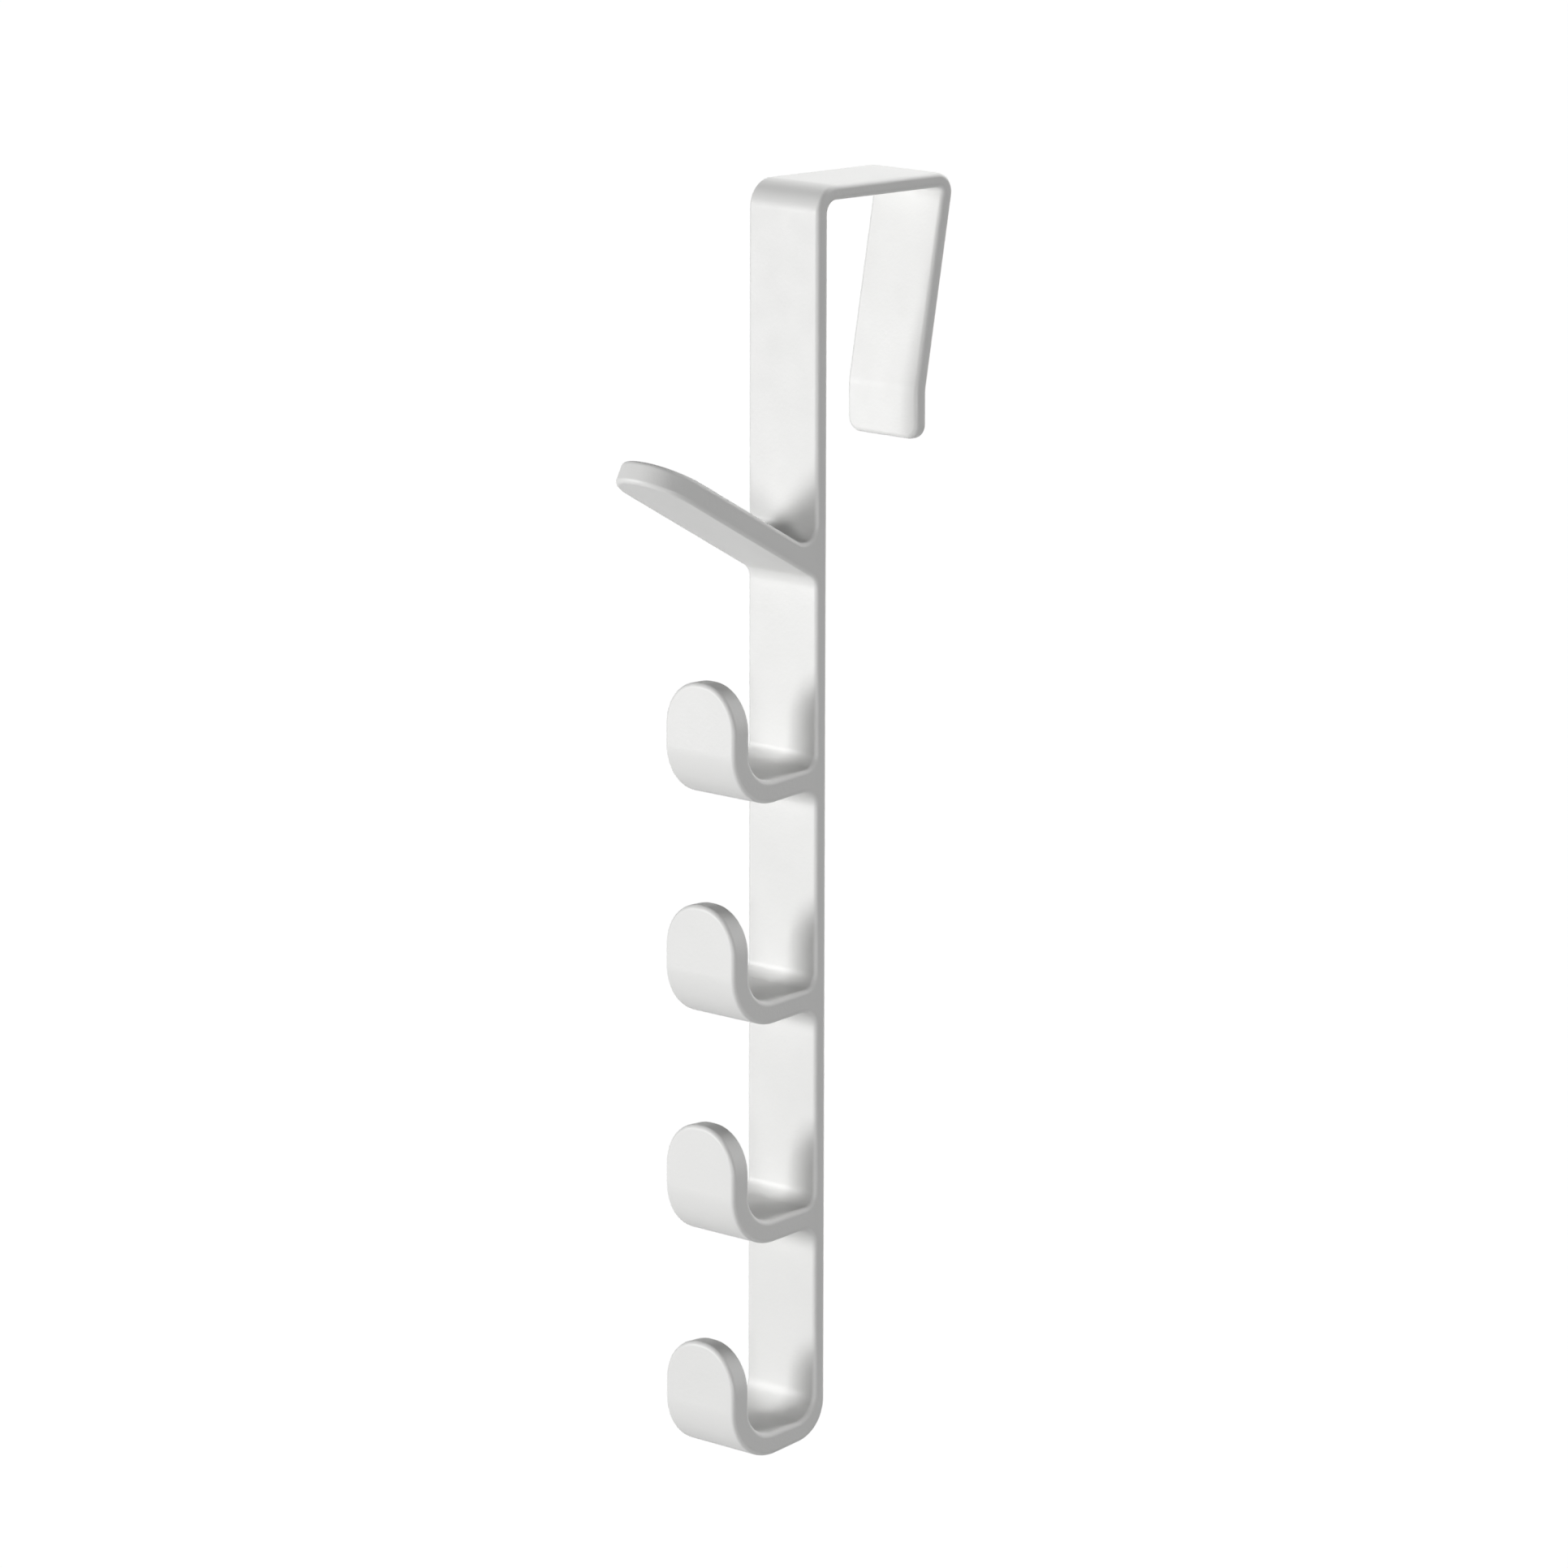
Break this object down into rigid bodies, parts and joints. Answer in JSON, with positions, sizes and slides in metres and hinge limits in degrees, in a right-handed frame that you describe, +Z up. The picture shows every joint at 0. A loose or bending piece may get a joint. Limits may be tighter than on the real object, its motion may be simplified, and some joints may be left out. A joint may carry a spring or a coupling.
{
  "type": "over-the-door bag rack",
  "caption": "White flat-bar rack that hangs over a door leaf, with a sloping peg and a column of J hooks for bags down its front.",
  "frame": {"origin": "middle of the top plate's underside, where the rack sits on the top edge of the door", "axes": "+Z up along the strap; -Y to the front, where the hooks are; +Y towards the leg behind the door; +X to the viewer's right across the bar"},
  "size_m": [0.03, 0.1218, 0.3909],
  "materials": {
    "door_strap": "semi-gloss white powder coat",
    "peg_hook": "semi-gloss white powder coat",
    "peg_top_weld": "semi-gloss white powder coat over a smooth weld",
    "peg_under_weld": "semi-gloss white powder coat over a smooth weld",
    "j_hook_1": "semi-gloss white powder coat",
    "j_hook_1_top_weld": "semi-gloss white powder coat over a smooth weld",
    "j_hook_1_under_weld": "semi-gloss white powder coat over a smooth weld",
    "j_hook_2": "semi-gloss white powder coat",
    "j_hook_2_top_weld": "semi-gloss white powder coat over a smooth weld",
    "j_hook_2_under_weld": "semi-gloss white powder coat over a smooth weld",
    "j_hook_3": "semi-gloss white powder coat",
    "j_hook_3_top_weld": "semi-gloss white powder coat over a smooth weld",
    "j_hook_3_under_weld": "semi-gloss white powder coat over a smooth weld"
  },
  "bodies": {
    "root": {"door_strap": "door_strap", "peg_hook": "peg_hook", "peg_top_weld": "peg_top_weld", "peg_under_weld": "peg_under_weld", "j_hook_1": "j_hook_1", "j_hook_1_top_weld": "j_hook_1_top_weld", "j_hook_1_under_weld": "j_hook_1_under_weld", "j_hook_2": "j_hook_2", "j_hook_2_top_weld": "j_hook_2_top_weld", "j_hook_2_under_weld": "j_hook_2_under_weld", "j_hook_3": "j_hook_3", "j_hook_3_top_weld": "j_hook_3_top_weld", "j_hook_3_under_weld": "j_hook_3_under_weld"}
  },
  "joints": []
}
